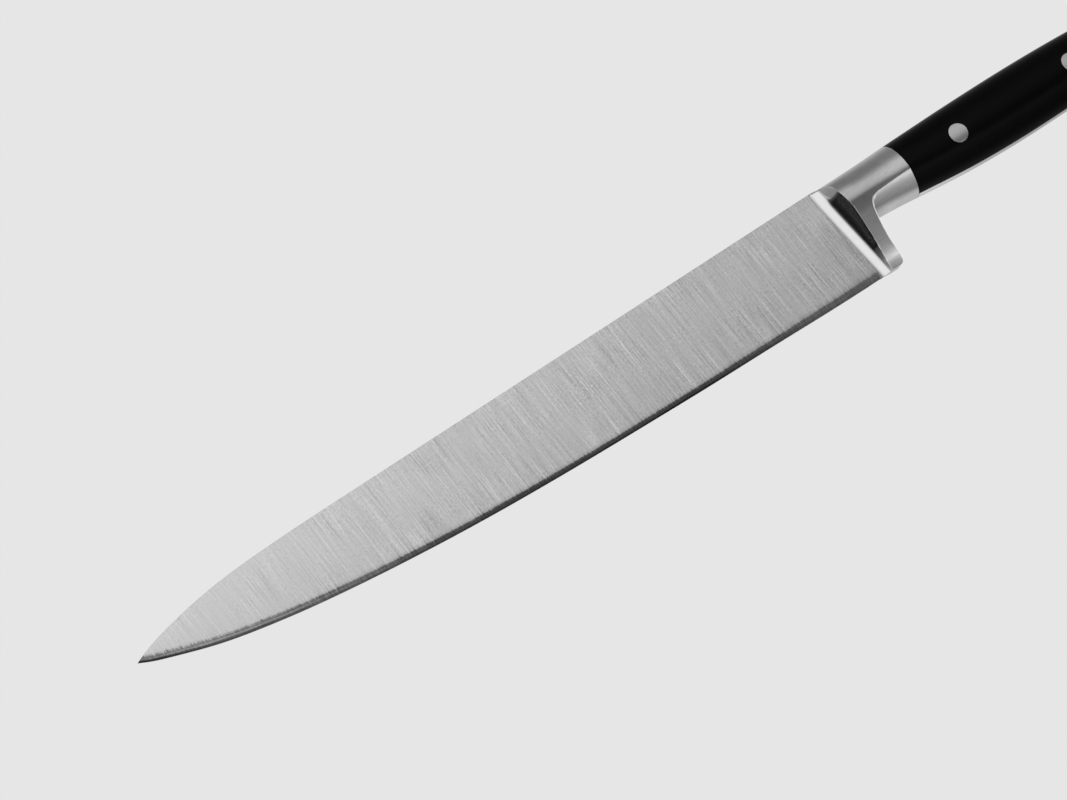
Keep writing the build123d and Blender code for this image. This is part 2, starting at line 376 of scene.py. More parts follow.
def zip_rings(build, a, b, va, vb, na=None, nb=None, mid=(-8.0, 0.0)):
    """Triangles between two closed rings of unlike size, matched by their angle about mid in the y-z plane."""
    def order(idx, p, n):
        ang = np.arctan2(p[:, 2] - mid[1], p[:, 1] - mid[0]) % (2 * math.pi)
        o = np.argsort(ang, kind="stable")
        return idx[o], ang[o], (None if n is None else n[o])
    a, ta, na = order(np.asarray(a), np.asarray(va), na)
    b, tb, nb = order(np.asarray(b), np.asarray(vb), nb)
    i = j = 0
    la, lb = len(a), len(b)
    tri, nor = [], []
    j0 = int(np.argmin(np.abs(tb - ta[0])))
    b, tb = np.roll(b, -j0), np.roll(tb, -j0)
    if nb is not None:
        nb = np.roll(nb, -j0, 0)
    tb = np.where(np.arange(lb) >= lb - j0, tb + 2 * math.pi, tb)
    while i < la or j < lb:
        nexta = ta[i + 1] if i + 1 < la else ta[0] + 2 * math.pi
        nextb = tb[j + 1] if j + 1 < lb else tb[0] + 2 * math.pi
        if j >= lb or (i < la and nexta <= nextb):
            t = ((0, i % la), (0, (i + 1) % la), (1, j % lb))
            i += 1
        else:
            t = ((0, i % la), (1, (j + 1) % lb), (1, j % lb))
            j += 1
        tri.append([a[k] if s == 0 else b[k] for s, k in t])
        if na is not None:
            nor.append([na[k] if s == 0 else nb[k] for s, k in t])
    build.faces(tri, nor if na is not None else None)


# ------------------------------------------------------------------ forging
def surface_nets(field, xs, ys, zs):
    """Quads where the sampled field changes sign, one vertex for each crossed cell."""
    s = field < 0
    n = s.astype(np.int8)
    occ = sum(n[i:i + n.shape[0] - 1, j:j + n.shape[1] - 1, k:k + n.shape[2] - 1] for i in (0, 1) for j in (0, 1) for k in (0, 1))
    live = (occ > 0) & (occ < 8)
    ids = np.full(live.shape, -1, int)
    cells = np.argwhere(live)
    ids[live] = np.arange(len(cells))
    total, hits = np.zeros((len(cells), 3)), np.zeros(len(cells))
    axes = (xs, ys, zs)
    corner = cells
    for ax in range(3):
        for p in (0, 1):
            for q in (0, 1):
                o = np.zeros(3, int)
                o[(ax + 1) % 3], o[(ax + 2) % 3] = p, q
                lo = corner + o
                hi = lo.copy()
                hi[:, ax] += 1
                fa, fb = field[tuple(lo.T)], field[tuple(hi.T)]
                cross = (fa < 0) != (fb < 0)
                t = np.where(cross, fa / np.where(cross, fa - fb, 1), 0)
                pa = np.stack([axes[d][lo[:, d]] for d in range(3)], 1)
                pb = np.stack([axes[d][hi[:, d]] for d in range(3)], 1)
                total += np.where(cross[:, None], pa + (pb - pa) * t[:, None], 0)
                hits += cross
    pts = total / hits[:, None]
    quads = []
    for ax in range(3):
        b, c = (ax + 1) % 3, (ax + 2) % 3
        lo = [slice(1, -1)] * 3
        lo[ax] = slice(0, -1)
        hi = list(lo)
        hi[ax] = slice(1, None)
        sa, sb = s[tuple(lo)], s[tuple(hi)]
        for inside_first in (True, False):
            e = np.argwhere((sa & ~sb) if inside_first else (~sa & sb))
            base = e.copy()
            base[:, b] += 1
            base[:, c] += 1
            ring = []
            for db, dc in ((-1, -1), (0, -1), (0, 0), (-1, 0)):
                cell = base.copy()
                cell[:, b] += db
                cell[:, c] += dc
                ring.append(ids[tuple(cell.T)])
            q = np.stack(ring, 1)
            quads.append(q if inside_first else q[:, ::-1])
    return pts, np.vstack(quads), cells


def unit(v):
    return v / (np.linalg.norm(v, axis=-1, keepdims=True) + 1e-12)


def calm(n, p):
    """Normals of the neck: less lengthwise flare on the belly near the joint, a flatter shoulder behind the hollow."""
    share = 0.42 * ease(p[:, 0], -9.5, -4.5) * ease(-p[:, 1], 8.2, 9.2)
    n = n.copy()
    n[:, 0] *= 1 - share
    lean = np.degrees(np.arctan2(-n[:, 1], np.abs(n[:, 2])))
    flat = ease(-p[:, 0], 12.5, 16.8) * (p[:, 0] > -18.7) * ease(lean, -62, -45) * (1 - ease(lean, -14, -6)) * (1 - ease(np.abs(n[:, 0]), 0.1, 0.3))
    size, lean = np.hypot(n[:, 1], n[:, 2]), np.radians(lean + 4.5 * flat)
    n[:, 1] = np.where(flat > 0, -size * np.sin(lean), n[:, 1])
    n[:, 2] = np.where(flat > 0, size * np.cos(lean) * np.sign(n[:, 2]), n[:, 2])
    return unit(n)


def make_forging():
    out = Build()
    # --- bolster block
    step = 0.13
    x0, x1 = -24.4, -8.0
    xs = np.arange(x0, x1 + 1e-6, (x1 - x0) / round((x1 - x0) / step))
    ys = np.arange(HEEL_Y - 0.6, 0.9, step) + 0.03
    zs = np.arange(-50, 51) * step
    gx, gy, gz = xs[:, None, None], ys[None, :, None], zs[None, None, :]
    plan = outline_gap(xs[:, None], ys[None, :])[:, :, None]
    upper = steel_gap(gx, gy, gz[:, :, 50:], plan) + 0.0 * gz[:, :, 50:]
    field = np.concatenate([upper[:, :, :0:-1], upper], 2)
    pts, quads, cells = surface_nets(field, xs, ys, zs)
    first, last = cells[:, 0] == 0, cells[:, 0] == len(xs) - 2
    pts[first, 0], pts[last, 0] = x0, x1
    for turn in range(4):
        f = steel_gap(*pts.T)
        g = slope_of(steel_gap, pts)
        g[first | last, 0] = 0
        move = -f[:, None] * g / np.maximum((g * g).sum(1), 0.2)[:, None]
        pts += np.clip(move, -0.1, 0.1)
        pts[first, 0], pts[last, 0] = x0, x1
    nor = unit(slope_of(steel_gap, pts))
    px, py, pz = pts.T
    sign = np.sign(pz)[:, None]
    foot = px - (FOOT_X0 + (FOOT_X1 - FOOT_X0) * (py / HEEL_Y))
    flank = (foot < 0.02) & (np.abs(nor[:, 2]) > 0.985) & (py < -0.25) & (py > edge_y(np.minimum(px, HEEL_X)) + bevel_tall(px) + 0.1)
    nor[flank] = (unit(flank_slant(px, py)) * [[1, 1, 0]] + unit(flank_slant(px, py)) * [[0, 0, 1]] * sign)[flank]
    # the guard's side as finished
    want = np.tan(np.radians(np.interp(-py, *FINISH)))
    is_ = np.interp(-py, -_y, np.tan(np.radians(_lean)))
    side_n = unit(np.stack([0 * px, -want, np.sign(pz)], 1))
    plane_n = unit(np.stack([0 * px, -is_, np.sign(pz)], 1))
    mid, tall, wide = oval(px)
    off = np.abs(np.abs(pz) - side_z(px, py, mid, tall, wide)[0])
    near = ease((nor * plane_n).sum(1), 0.90, 0.985) * (py < SIDE_Y) * (foot > 1.0) * (1 - ease(off, 0.01, 0.06))
    nor = unit(nor + (side_n - plane_n) * near[:, None])
    nor = calm(nor, pts)
    # the hollow opens upwards at the spine
    in_ramp = (np.abs(ramp_gap(px, py, pz)) < 0.03) & (foot > 0)
    wall = np.clip(-nor[:, 0], 1e-6, None)
    steep = np.arctan2(wall, np.abs(nor[:, 2]))
    open_ = ease(py, -6.4, -2.6) * in_ramp * ease(foot, 1.9, 3.0)
    most = np.radians(np.interp(-py, [17.0, 19.3, 20.8, 22.0, 23.4, 24.5, 25.6], [80.0, 35.0, 33.7, 32.6, 31.8, 31.0, 30.2]))
    less = (steep - np.minimum(steep, np.radians(50.0))) * open_ + (steep - np.minimum(steep, most)) * in_ramp * (py < -15.0)
    size = np.hypot(nor[:, 0], nor[:, 2])
    nor[:, 0] = np.where(less > 0, -size * np.sin(steep - less), nor[:, 0])
    nor[:, 2] = np.where(less > 0, size * np.cos(steep - less) * np.sign(pz), nor[:, 2])
    nor = unit(nor)
    lift = np.radians(27.0) * ease(py, -5.55, -0.8) * in_ramp * ease(foot, 1.9, 3.2)
    nor = unit(nor * np.cos(lift)[:, None] + np.array([[0, 1.0, 0]]) * np.sin(lift)[:, None])
    ids = out.add(pts)
    out.faces(ids[quads], nor[quads])
    ring_blade, ring_neck = ids[first], ids[last]

    # --- blade, section by section from the point to the bolster
    near = TIP_X + np.array([0.03, 0.08, 0.16, 0.28, 0.45, 0.7, 1.0, 1.4, 1.9, 2.5, 3.2, 4.0])
    st = np.concatenate([near, np.arange(TIP_X + 4.8, -150, 0.9), np.arange(-149.6, x0 - 0.5, 1.8), [x0 - 0.25]])
    ye, yspine, rise = edge_y(st), spine_y(st), edge_rise(st)
    slope_e = edge_slope(np.clip(st, TIP_X + 0.4, HEEL_X - 0.4))
    slope_s = (spine_y(st + 0.2) - spine_y(st - 0.2)) / 0.4
    tall = yspine - ye
    half_s = np.minimum(blade_half(st, yspine), tall * rise * 0.98)
    ro = np.minimum(0.08, half_s * 0.45)
    shoulder = np.minimum(blade_half(st, ye) / (rise - TAPER_Y), tall - ro * 1.05)
    cols, cn = [], []

    def col(y, z, n):
        cols.append(np.stack([st, y, z], 1))
        cn.append(unit(n))
    up = np.stack([-slope_s, np.ones_like(st), np.zeros_like(st)], 1)
    top_half = half_s - ro
    col(yspine, np.zeros_like(st), up)
    col(yspine, top_half * 0.6, up)
    col(yspine, top_half, up)

    def flank_n(u):
        return flank_slant(st, yspine + (ye - yspine) * u)
    for a in (30, 60):
        c, s = math.cos(math.radians(a)), math.sin(math.radians(a))
        col(yspine - ro * (1 - c), top_half + ro * s, up * c + flank_n(0.0) * s)
    y_sh = ye + shoulder
    soft = np.minimum(0.10, shoulder * 0.08)
    y_first = yspine - ro
    y_last = np.minimum(y_sh + soft, y_first - 1e-3)
    for u in np.linspace(0, 1, 26):
        y = y_first + (y_last - y_first) * u
        z = np.minimum(blade_half(st, y), (y - ye) * rise)
        col(y, z, flank_n(u))
    bevel_n = np.stack([slope_e * rise, -rise, np.ones_like(st)], 1)
    for u in np.linspace(0, 0.97, 9):
        y = (y_sh - soft) + (ye - y_sh + soft) * u
        col(y, (y - ye) * rise, bevel_n)
    half_cols = np.stack(cols, 1)                       # stations, columns, 3
    half_n = np.stack(cn, 1)
    edge_col = np.stack([st, ye, np.zeros_like(st)], 1)[:, None]
    edge_n = unit(np.stack([slope_e, -np.ones_like(st), np.zeros_like(st)], 1))[:, None]
    mirror = np.array([1, 1, -1.0])
    loop = np.concatenate([half_cols, edge_col, half_cols[:, :0:-1] * mirror], 1)
    loop_n = np.concatenate([half_n, edge_n, half_n[:, :0:-1] * mirror], 1)
    rings = out.add(loop.reshape(-1, 3)).reshape(loop.shape[:2])
    # corner normals on the edge follow each side's own face
    a, b = rings[:-1], rings[1:]
    idx = np.stack([a, np.roll(a, -1, 1), np.roll(b, -1, 1), b], -1)
    na, nb = loop_n[:-1], loop_n[1:]
    nn = np.stack([na, np.roll(na, -1, 1), np.roll(nb, -1, 1), nb], 2).copy()
    e = half_cols.shape[1]
    nn[:, e - 1, 1] = na[:, e - 1]
    nn[:, e - 1, 2] = nb[:, e - 1]
    nn[:, e, 0] = na[:, (e + 1)]
    nn[:, e, 3] = nb[:, (e + 1)]
    out.faces(idx.reshape(-1, 4), nn.reshape(-1, 4, 3))
    tip = out.add([(TIP_X, TIP_Y, 0.0)])[0]
    r0 = rings[0]
    out.faces(np.stack([np.full(len(r0), tip), np.roll(r0, -1), r0], 1),
              np.stack([loop_n[0], np.roll(loop_n[0], -1, 0), loop_n[0]], 1))
    zip_rings(out, rings[-1], ring_blade, loop[-1], pts[first], loop_n[-1], nor[first], mid=(-9.0, 0.0))

    # --- neck, section by section to the joint
    count = 300
    th = np.linspace(0, 2 * math.pi, count, endpoint=False)
    xs2 = np.concatenate([np.arange(x1 + 0.12, -0.2, 0.25), [-0.14]])
    mid_y = -7.0

    def neck_ring(x):
        lo, hi = np.full(count, 2.0), np.full(count, 12.0)
        for turn in range(34):
            r = (lo + hi) / 2
            f = bolster_gap(np.full(count, x), mid_y + r * np.cos(th), r * np.sin(th), np.full(count, 9.0))
            lo, hi = np.where(f < 0, r, lo), np.where(f < 0, hi, r)
        return np.stack([np.full(count, x), mid_y + r * np.cos(th), r * np.sin(th)], 1)
    neck_rings, neck_n = [], []
    field_neck = lambda x, y, z: bolster_gap(x, y, z, np.full(np.shape(x), 9.0))
    for x in xs2:
        p = neck_ring(x)
        neck_rings.append(p)
        neck_n.append(calm(unit(slope_of(field_neck, p)), p))
    # softened rim at the joint
    base = neck_ring(-0.001)
    base_n = calm(unit(slope_of(field_neck, base)), base)
    ro = 0.11
    for a in (25, 50, 72, 90):
        ca, sa = math.cos(math.radians(a)), math.sin(math.radians(a))
        p = base - base_n * [[0, 1, 1]] * ro * (1 - ca)
        p[:, 0] = -ro + ro * sa
        neck_rings.append(p)
        neck_n.append(unit(base_n * ca + np.array([[sa, 0, 0]])))
    neck_rings, neck_n = np.array(neck_rings), np.array(neck_n)
    rings = out.add(neck_rings.reshape(-1, 3)).reshape(neck_rings.shape[:2])
    tube(out, rings, neck_n)
    zip_rings(out, ring_neck, rings[0], pts[last], neck_rings[0], nor[last], neck_n[0], mid=(-7.0, 0.0))

    # --- tang between the scales
    tx = np.concatenate([[0.0], np.arange(1.5, 96, 1.5), np.arange(96.5, 104.3, 0.4), [104.35, 104.5, BUTT_X]])
    mid, tall, wide = oval(tx)
    zr = np.array([0, 0.5, 1.0, 1.35, TANG_HALF])
    loops, rn = [], []
    for x, m, t, w in zip(tx, mid, tall, wide):
        dx = 0.05
        m2, t2, w2 = oval(x + dx) if x < BUTT_X - 0.1 else oval(x)
        m1, t1, w1 = oval(x - dx) if x > 0.1 else oval(x)

        def rim(z, sign):
            y = m + sign * t * np.sqrt(1 - (z / w) ** 2)
            ya, yb = m1 + sign * t1 * np.sqrt(1 - (z / w1) ** 2), m2 + sign * t2 * np.sqrt(1 - (z / w2) ** 2)
            span = (dx if x < BUTT_X - 0.1 else 0) + (dx if x > 0.1 else 0)
            return y, np.stack([-(yb - ya) / span * (y - m), (y - m) / t ** 2 * t * t, z * (t / w) ** 2], 1)
        yt, nt = rim(zr, 1)
        yb, nb = rim(zr, -1)
        side_y = np.linspace(yt[-1], yb[-1], 8)[1:-1]
        sp = np.stack([np.full(6, x), side_y, np.full(6, TANG_HALF)], 1)
        half = np.concatenate([np.stack([np.full(5, x), yt, zr], 1), sp, np.stack([np.full(5, x), yb, zr], 1)[::-1]])
        hn = np.concatenate([unit(nt), np.tile([[0, 0, 1.0]], (6, 1)), unit(nb)[::-1]])
        loops.append(np.concatenate([half, half[-2:0:-1] * mirror]))
        rn.append(np.concatenate([hn, hn[-2:0:-1] * mirror]))
    loops, rn = np.array(loops), np.array(rn)
    trings = out.add(loops.reshape(-1, 3)).reshape(loops.shape[:2])
    n_half = 16
    a, b = trings[:-1], trings[1:]
    idx = np.stack([a, np.roll(a, -1, 1), np.roll(b, -1, 1), b], -1)
    na, nb = rn[:-1], rn[1:]
    nn = np.stack([na, np.roll(na, -1, 1), np.roll(nb, -1, 1), nb], 2).copy()
    total = idx.shape[1]
    for c0 in range(total):
        c = c0 if c0 < n_half - 1 else total - 1 - c0
        if 4 <= c <= 10:                                 # faces on the flat sides
            s = 1.0 if c0 < n_half - 1 else -1.0
            nn[:, c0] = np.array([0, 0, s])
    out.faces(idx.reshape(-1, 4), nn.reshape(-1, 4, 3))
    zip_rings(out, rings[-1], trings[0], neck_rings[-1], loops[0], mid=(-7.0, 0.0))
    centre = out.add([(BUTT_X, float(mid[-1]), 0.0)])[0]
    rl = trings[-1]
    out.faces(np.stack([rl, np.roll(rl, -1), np.full(len(rl), centre)], 1))

    ob = out.make("forging")
    v = out.points()
    att = ob.data.attributes.new("above_edge", "FLOAT", "POINT")
    above = np.where(v[:, 0] < HEEL_X + 0.4, v[:, 1] - edge_y(np.minimum(v[:, 0], HEEL_X)), 30.0)
    att.data.foreach_set("value", above.astype(np.float32))
    along = ob.data.attributes.new("bevel_share", "FLOAT", "POINT")
    along.data.foreach_set("value", (above / bevel_tall(v[:, 0])).astype(np.float32))
    # flat map for the brushed grain: U along the blade, V across it
    uv = ob.data.uv_layers.new(name="along")
    li = np.zeros(len(ob.data.loops), np.int32)
    ob.data.loops.foreach_get("vertex_index", li)
    uv.data.foreach_set("uv", np.stack([(v[li, 0] + 230) / 340, (v[li, 1] + 40) / 340], 1).astype(np.float32).ravel())
    return ob


# ------------------------------------------------------------------ scales and rivets
def outer_normal(x, y, z):
    """Normal of the grip's surface at a point on it."""
    m, t, w = oval(x)
    e = 0.05
    ma, ta, wa = oval(np.maximum(x - e, -26.9))
    mb, tb, wb = oval(np.minimum(x + e, BUTT_X))
    q = lambda mm, tt, ww: ((y - mm) / tt) ** 2 + (z / ww) ** 2
    gx = (q(mb, tb, wb) - q(ma, ta, wa)) / (np.minimum(x + e, BUTT_X) - np.maximum(x - e, -26.9))
    return unit(np.stack([gx, 2 * (y - m) / t ** 2, 2 * z / w ** 2], -1))


def make_scale(name, side):
    out = Build()
    ro = 0.11
    ends = [(0.0, 90), (ro * (1 - math.sin(math.radians(65))), 65), (ro * (1 - math.sin(math.radians(40))), 40),
            (ro * (1 - math.sin(math.radians(18))), 18), (ro, 0)]
    st = [(x, a) for x, a in ends] + [(x, 0) for x in np.arange(0.8, 95, 0.8)] + [(x, 0) for x in np.arange(95.3, 104.2, 0.3)] \
        + [(104.3, 0), (104.42, 0), (104.52, 0), (BUTT_X, 0)]
    narc, nflat = 72, 10
    rings, nor = [], []
    for x, lift in st:
        m, t, w = oval(x)
        a0 = math.asin(min(TANG_HALF / w, 0.98))
        th = np.linspace(a0, math.pi - a0, narc + 1)
        y, z = m + t * np.cos(th), w * np.sin(th)
        n = outer_normal(np.full_like(y, x), y, z)
        if lift:
            ca, sa = math.cos(math.radians(lift)), math.sin(math.radians(lift))
            y, z = y - n[:, 1] * ro * (1 - ca), np.maximum(z - n[:, 2] * ro * (1 - ca), TANG_HALF)
            n = unit(n * ca + np.array([[-sa, 0, 0]]))
        fy = np.linspace(y[-1], y[0], nflat + 1)[1:-1]
        rings.append(np.concatenate([np.stack([np.full_like(y, x), y, z], 1),
                                     np.stack([np.full(nflat - 1, x), fy, np.full(nflat - 1, TANG_HALF)], 1)]))
        nor.append(np.concatenate([n, np.tile([[0, 0, -1.0]], (nflat - 1, 1))]))
    rings, nor = np.array(rings), np.array(nor)
    ids = out.add(rings.reshape(-1, 3)).reshape(rings.shape[:2])
    a, b = ids[:-1], ids[1:]
    idx = np.stack([a, np.roll(a, -1, 1), np.roll(b, -1, 1), b], -1)
    na, nb = nor[:-1], nor[1:]
    nn = np.stack([na, np.roll(na, -1, 1), np.roll(nb, -1, 1), nb], 2).copy()
    nn[:, narc:] = np.array([0, 0, -1.0])
    out.faces(idx.reshape(-1, 4), nn.reshape(-1, 4, 3))
    for k, order in ((0, 1), (-1, -1)):
        ring = ids[k]
        m, _, w = oval(st[k][0])
        c = out.add([(st[k][0], m, (TANG_HALF + w) / 2)])[0]
        nxt = np.roll(ring, -1)
        out.faces(np.stack([nxt, ring, np.full(len(ring), c)] if order > 0 else [ring, nxt, np.full(len(ring), c)], 1))
    if side < 0:
        out.v = [p * np.array([1, 1, -1.0]) for p in out.v]
        out.n = [None if n is None else n * np.array([1, 1, -1.0]) for n in out.n]
    ob = out.make(name, flip=side < 0)
    # rivet seats
    cutters = []
    for x, y in zip(RIVET_X, RIVET_Y):
        seg, r, low, high = 128, HEAD_R + 0.015, 0.5, 9.0
        ang = np.arange(seg) * 2 * math.pi / seg
        ring_low = np.stack([x + r * np.cos(ang), y + r * np.sin(ang), np.full(seg, low * side)], 1)
        ring_high = ring_low.copy()
        ring_high[:, 2] = high * side
        cut = Build()
        il, ih = cut.add(ring_low), cut.add(ring_high)
        quad = np.stack([il, np.roll(il, -1), np.roll(ih, -1), ih], 1)
        cut.faces(quad if side > 0 else quad[:, ::-1])
        for ring, z, up in ((il, low * side, -side), (ih, high * side, side)):
            c = cut.add([(x, y, z)])[0]
            nxt = np.roll(ring, -1)
            tri = np.stack([ring, nxt, np.full(seg, c)], 1)
            cut.faces(tri if up > 0 else tri[:, ::-1])
        cutters.append(cut.make(f"{name}_seat_{len(cutters)}"))
    for c in cutters:
        mod = ob.modifiers.new("seat", "BOOLEAN")
        mod.operation, mod.solver, mod.object = "DIFFERENCE", "EXACT", c
    dg = bpy.context.evaluated_depsgraph_get()
    dg.update()
    me = bpy.data.meshes.new_from_object(ob.evaluated_get(dg), depsgraph=dg)
    ob.modifiers.clear()
    old = ob.data
    ob.data = me
    me.name = name
    bpy.data.meshes.remove(old)
    for c in cutters:
        m = c.data
        bpy.data.objects.remove(c)
        bpy.data.meshes.remove(m)
    # normals again from the true shape
    co = np.zeros(len(me.vertices) * 3, np.float32)
    me.vertices.foreach_get("co", co)
    p = co.reshape(-1, 3).astype(float) * 1e3 - SHIFT
    li, lp = np.zeros(len(me.loops), np.int32), np.zeros(len(me.loops), np.int32)
    me.loops.foreach_get("vertex_index", li)
    fn, ls, lt = np.zeros(len(me.polygons) * 3), np.zeros(len(me.polygons), np.int32), np.zeros(len(me.polygons), np.int32)
    me.polygons.foreach_get("normal", fn)
    me.polygons.foreach_get("loop_start", ls)
    me.polygons.foreach_get("loop_total", lt)
    fn = fn.reshape(-1, 3)
    for k, (s, n) in enumerate(zip(ls, lt)):
        lp[s:s + n] = k
    q = p[li]
    near = outer_normal(np.clip(q[:, 0], 0.0, BUTT_X), q[:, 1], q[:, 2])
    flat = fn[lp]
    use = (near * flat).sum(1) > 0.86
    res = np.where(use[:, None], near, flat)
    rim = (q[:, 0] < ro + 0.02) & (np.abs(flat[:, 2]) < 0.999) & (flat[:, 0] > -0.99) & (q[:, 2] * side > TANG_HALF + 1e-3)
    lift = np.clip((ro - q[:, 0]) / ro, 0, 1)
    rn = unit(near * np.sqrt(np.clip(1 - lift ** 2, 0, 1))[:, None] + np.array([[-1.0, 0, 0]]) * lift[:, None])
    res = np.where(rim[:, None], rn, res)
    for x, y in zip(RIVET_X, RIVET_Y):
        dx, dy = q[:, 0] - x, q[:, 1] - y
        wall = (np.abs(np.hypot(dx, dy) - HEAD_R - 0.015) < 0.01) & (np.abs(flat[:, 2]) < 0.3)
        rad = unit(np.stack([-dx, -dy, np.zeros_like(dx)], 1))
        res = np.where(wall[:, None], rad, res)
    me.polygons.foreach_set("use_smooth", np.ones(len(me.polygons), bool))
    me.normals_split_custom_set([tuple(v) for v in res])
    return ob


def make_rivet(name, x, y, side, socket):
    out = Build()
    seg = 96
    ang = np.arange(seg) * 2 * math.pi / seg
    half = float(oval(x)[2])
    seat = half - HEAD_DEEP
    r = [0.35, 0.8, 1.3, 1.75, 2.1, 2.28, 2.34]
    rings, nor = [], []

    def surface(rad, sink=0.0):
        px, py = x + rad * np.cos(ang), y + rad * np.sin(ang)
        m, t, w = oval(px)
        pz = w * np.sqrt(1 - ((py - m) / t) ** 2)
        return np.stack([px, py, pz - sink], 1), outer_normal(px, py, pz)
    for rad in r:
        p, n = surface(rad)
        rings.append(p)
        nor.append(n)
    ro = HEAD_R - r[-1]
    for a in (30, 60, 90):
        sa, ca = math.sin(math.radians(a)), math.cos(math.radians(a))
        p, n = surface(r[-1] + ro * sa, ro * (1 - ca))
        rings.append(p)
        nor.append(unit(n * ca + np.stack([np.cos(ang), np.sin(ang), 0 * ang], 1) * sa))

    def ring_at(rad, z, n_r, n_z):
        rings.append(np.stack([x + rad * np.cos(ang), y + rad * np.sin(ang), np.full(seg, z)], 1))
        nor.append(np.stack([np.cos(ang) * n_r, np.sin(ang) * n_r, np.full(seg, n_z)], 1))
    body = [(HEAD_R, seat, 1, 0), (HEAD_R, seat, 0, -1)]
    if socket:
        end = -seat + 0.5
        body += [(BARREL_R, seat, 0, -1), (BARREL_R, seat, 1, 0), (BARREL_R, end, 1, 0), (BARREL_R, end, 0, -1),
                 (PIN_R, end, 0, -1), (PIN_R, end, -1, 0), (PIN_R, seat - 0.6, -1, 0), (PIN_R, seat - 0.6, 0, -1)]
        last_z = seat - 0.6
    else:
        end = -(seat - 1.0)
        body += [(PIN_R, seat, 0, -1), (PIN_R, seat, 1, 0), (PIN_R, end, 1, 0), (PIN_R, end, 0, -1)]
        last_z = end
    for b in body:
        ring_at(*b)
    rings, nor = np.array(rings), np.array(nor)
    # rings at one place with two normals share their vertices
    ids, prev = [], None
    for k in range(len(rings)):
        if prev is not None and np.abs(rings[k] - rings[prev]).max() < 1e-9:
            ids.append(ids[-1])
        else:
            ids.append(out.add(rings[k]))
        prev = k
    ids = np.array(ids)
    for k in range(len(ids) - 1):
        if ids[k][0] == ids[k + 1][0]:
            continue
        a, b = ids[k], ids[k + 1]
        na, nb = nor[k], nor[k + 1]
        out.faces(np.stack([a, b, np.roll(b, -1), np.roll(a, -1)], 1),
                  np.stack([na, nb, np.roll(nb, -1, 0), np.roll(na, -1, 0)], 1))
    m, t, w = oval(x)
    top_z = float(w * math.sqrt(1 - ((y - m) / t) ** 2))
    c = out.add([(x, y, top_z)])[0]
    cn = outer_normal(np.array([x]), np.array([y]), np.array([top_z]))
    a = ids[0]
    out.faces(np.stack([np.full(seg, c), a, np.roll(a, -1)], 1), np.stack([np.repeat(cn, seg, 0), nor[0], np.roll(nor[0], -1, 0)], 1))
    c = out.add([(x, y, last_z)])[0]
    a = ids[-1]
    out.faces(np.stack([np.full(seg, c), np.roll(a, -1), a], 1))
    if side < 0:
        out.v = [p * np.array([1, 1, -1.0]) for p in out.v]
        out.n = [None if n is None else n * np.array([1, 1, -1.0]) for n in out.n]
    return out.make(name, flip=side < 0)


# ------------------------------------------------------------------ node helpers
class Nodes:
    def __init__(self, tree):
        self.t = tree
        self.n = tree.nodes
        self.n.clear()

    def node(self, kind, **inputs):
        n = self.n.new(kind)
        for k, v in inputs.items():
            if hasattr(n, k) and not k[0].isupper() and k not in n.inputs:
                setattr(n, k, v)
        return n

    def put(self, n, slot, v):
        if isinstance(v, bpy.types.NodeSocket):
            self.t.links.new(v, n.inputs[slot])
        else:
            n.inputs[slot].default_value = v

    def math(self, op, a, b=None, c=None, clamp=False):
        n = self.n.new("ShaderNodeMath")
        n.operation = op
        n.use_clamp = clamp
        for i, v in enumerate((a, b, c)):
            if v is not None:
                self.put(n, i, v)
        return n.outputs[0]

    def vec(self, x, y, z):
        n = self.n.new("ShaderNodeCombineXYZ")
        for i, v in enumerate((x, y, z)):
            self.put(n, i, v)
        return n.outputs[0]

    def noise(self, vector, scale=1.0, detail=2.0, rough=0.5, dist=0.0):
        n = self.n.new("ShaderNodeTexNoise")
        n.noise_dimensions = "3D"
        self.put(n, "Vector", vector)
        for k, v in (("Scale", scale), ("Detail", detail), ("Roughness", rough), ("Distortion", dist)):
            n.inputs[k].default_value = v
        return n.outputs["Fac"] if "Fac" in n.outputs else n.outputs[0]

    def remap(self, v, a, b, c, d, smooth=False, clamp=True):
        n = self.n.new("ShaderNodeMapRange")
        n.clamp = clamp
        if smooth:
            n.interpolation_type = "SMOOTHSTEP"
        self.put(n, 0, v)
        for i, x in enumerate((a, b, c, d)):
            self.put(n, i + 1, x)
        return n.outputs[0]

    def mix(self, f, a, b):
        """Plain number mix."""
        n = self.n.new("ShaderNodeMix")
        n.data_type = "FLOAT"
        self.put(n, 0, f)
        self.put(n, 2, a)
        self.put(n, 3, b)
        return n.outputs[0]

    def grey(self, v):
        n = self.n.new("ShaderNodeCombineColor")
        for i in range(3):
            self.put(n, i, v)
        return n.outputs[0]

    def place(self):
        """Object coordinates in millimetres of the row frame."""
        c = self.n.new("ShaderNodeTexCoord")
        s = self.n.new("ShaderNodeVectorMath")
        s.operation = "SCALE"
        self.t.links.new(c.outputs["Object"], s.inputs[0])
        s.inputs["Scale"].default_value = 1000.0
        x = self.n.new("ShaderNodeSeparateXYZ")
        self.t.links.new(s.outputs[0], x.inputs[0])
        return s.outputs[0], x.outputs[0], x.outputs[1], x.outputs[2]

    def bump(self, height, distance, normal=None, strength=1.0):
        n = self.n.new("ShaderNodeBump")
        n.inputs["Strength"].default_value = strength
        n.inputs["Distance"].default_value = distance
        self.put(n, "Height", height)
        if normal is not None:
            self.put(n, "Normal", normal)
        return n.outputs[0]


def new_material(name):
    m = bpy.data.materials.new(name)
    m.use_nodes = True
    k = Nodes(m.node_tree)
    out = k.n.new("ShaderNodeOutputMaterial")
    bsdf = k.n.new("ShaderNodeBsdfPrincipled")
    k.t.links.new(bsdf.outputs[0], out.inputs[0])
    return m, k, bsdf


# ------------------------------------------------------------------ materials
GRAIN = 0.52
